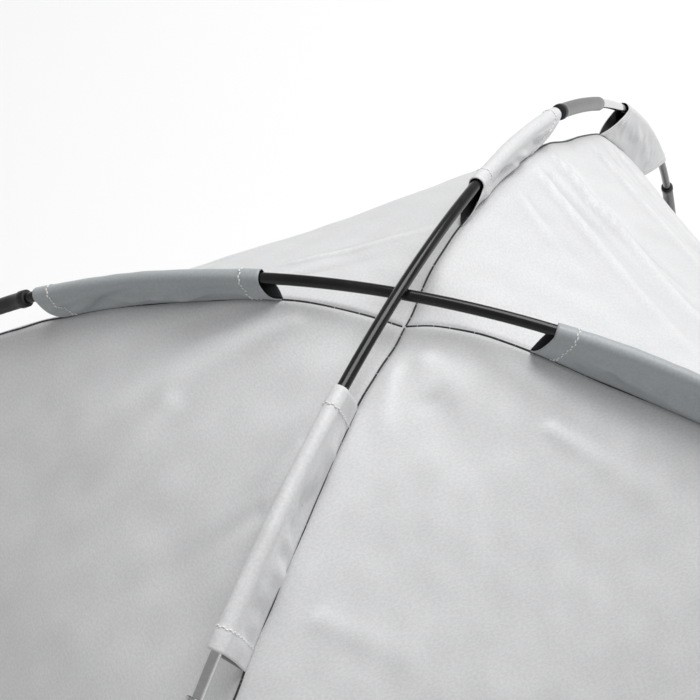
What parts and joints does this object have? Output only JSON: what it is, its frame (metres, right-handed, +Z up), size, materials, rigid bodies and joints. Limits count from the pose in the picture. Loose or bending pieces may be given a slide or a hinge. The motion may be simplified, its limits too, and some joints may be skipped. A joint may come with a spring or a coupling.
{
  "type": "dome tent on crossed poles",
  "caption": "Small two-pole dome tent: a silver-coated canopy hung in sewn pole sleeves, with a zipped half-moon door and a rear window flap.",
  "frame": {"origin": "on the ground, below the point where the poles cross", "axes": "+X along the long side, -Y towards the door, +Z up"},
  "size_m": [1.6762, 1.4074, 1.0994],
  "materials": {
    "pole_rod": "gloss",
    "ferrule": "satin",
    "shock_cord": "matte",
    "pole_tip": "matte",
    "webbing": "matte",
    "eyelet": "polished",
    "groundsheet": "matte",
    "canopy": "satin",
    "sleeve": "satin",
    "seam": "matte",
    "zip_tape": "matte",
    "zip_metal": "satin",
    "mesh": "matte"
  },
  "bodies": {
    "tent": {"over_pole_center": "pole_rod", "under_pole_center": "pole_rod", "front_left_shoulder_rod": "pole_rod", "front_right_shoulder_rod": "pole_rod", "back_right_shoulder_rod": "pole_rod", "back_left_shoulder_rod": "pole_rod", "front_left_leg_rod": "pole_rod", "front_right_leg_rod": "pole_rod", "back_right_leg_rod": "pole_rod", "back_left_leg_rod": "pole_rod", "front_left_upper_ferrule": "ferrule", "front_right_upper_ferrule": "ferrule", "back_right_upper_ferrule": "ferrule", "back_left_upper_ferrule": "ferrule", "front_left_lower_ferrule": "ferrule", "front_right_lower_ferrule": "ferrule", "back_right_lower_ferrule": "ferrule", "back_left_lower_ferrule": "ferrule", "over_pole_shock_cord": "shock_cord", "under_pole_shock_cord": "shock_cord", "front_left_pole_tip": "pole_tip", "front_right_pole_tip": "pole_tip", "back_right_pole_tip": "pole_tip", "back_left_pole_tip": "pole_tip", "front_left_corner_webbing": "webbing", "front_right_corner_webbing": "webbing", "back_right_corner_webbing": "webbing", "back_left_corner_webbing": "webbing", "corner_eyelets": "eyelet", "groundsheet": "groundsheet", "right_canopy_panel": "canopy", "back_canopy_panel": "canopy", "left_canopy_panel": "canopy", "front_canopy_panel": "canopy", "front_left_ridge_seam": "seam", "front_right_ridge_seam": "seam", "back_right_ridge_seam": "seam", "back_left_ridge_seam": "seam", "front_left_roof_sleeve": "sleeve", "front_left_shoulder_sleeve": "sleeve", "front_left_leg_sleeve": "sleeve", "front_right_roof_sleeve": "sleeve", "front_right_shoulder_sleeve": "sleeve", "front_right_leg_sleeve": "sleeve", "back_right_roof_sleeve": "sleeve", "back_right_shoulder_sleeve": "sleeve", "back_right_leg_sleeve": "sleeve", "back_left_roof_sleeve": "sleeve", "back_left_shoulder_sleeve": "sleeve", "back_left_leg_sleeve": "sleeve", "door_zip": "zip_tape", "window_mesh": "mesh", "window_zip": "zip_tape"},
    "door_flap": {"door_flap": "canopy"},
    "door_slider": {"door_slider": "zip_metal"},
    "door_pull": {"door_pull": "zip_metal"},
    "window_flap": {"window_flap": "canopy"},
    "window_slider": {"window_slider": "zip_metal"},
    "window_pull": {"window_pull": "zip_metal"}
  },
  "joints": [
    {"name": "door_flap_fold", "type": "hinge", "parent": "tent", "child": "door_flap", "pos_m": [0, -0.60573, 0.06236], "axis": [1, 0, 0], "range_deg": [0, 110]},
    {"name": "door_slider_run", "type": "hinge", "parent": "tent", "child": "door_slider", "pos_m": [0, -0.60591, 0.06179], "axis": [0, -0.953, 0.3029], "range_deg": [0, 168]},
    {"name": "door_pull_swing", "type": "hinge", "parent": "door_slider", "child": "door_pull", "pos_m": [0.4397, -0.59582, 0.10707], "axis": [-0.9945, -0.0317, -0.0996], "range_deg": [0, 160]},
    {"name": "window_flap_fold", "type": "hinge", "parent": "tent", "child": "window_flap", "pos_m": [0, 0.53364, 0.28918], "axis": [-1, 0, 0], "range_deg": [0, 160]},
    {"name": "window_slider_run", "type": "hinge", "parent": "tent", "child": "window_slider", "pos_m": [0, 0.53382, 0.28861], "axis": [0, 0.953, 0.3029], "range_deg": [0, 168]},
    {"name": "window_pull_swing", "type": "hinge", "parent": "window_slider", "child": "window_pull", "pos_m": [-0.18112, 0.53196, 0.30799], "axis": [0.9945, 0.0317, -0.0996], "range_deg": [0, 160]}
  ]
}
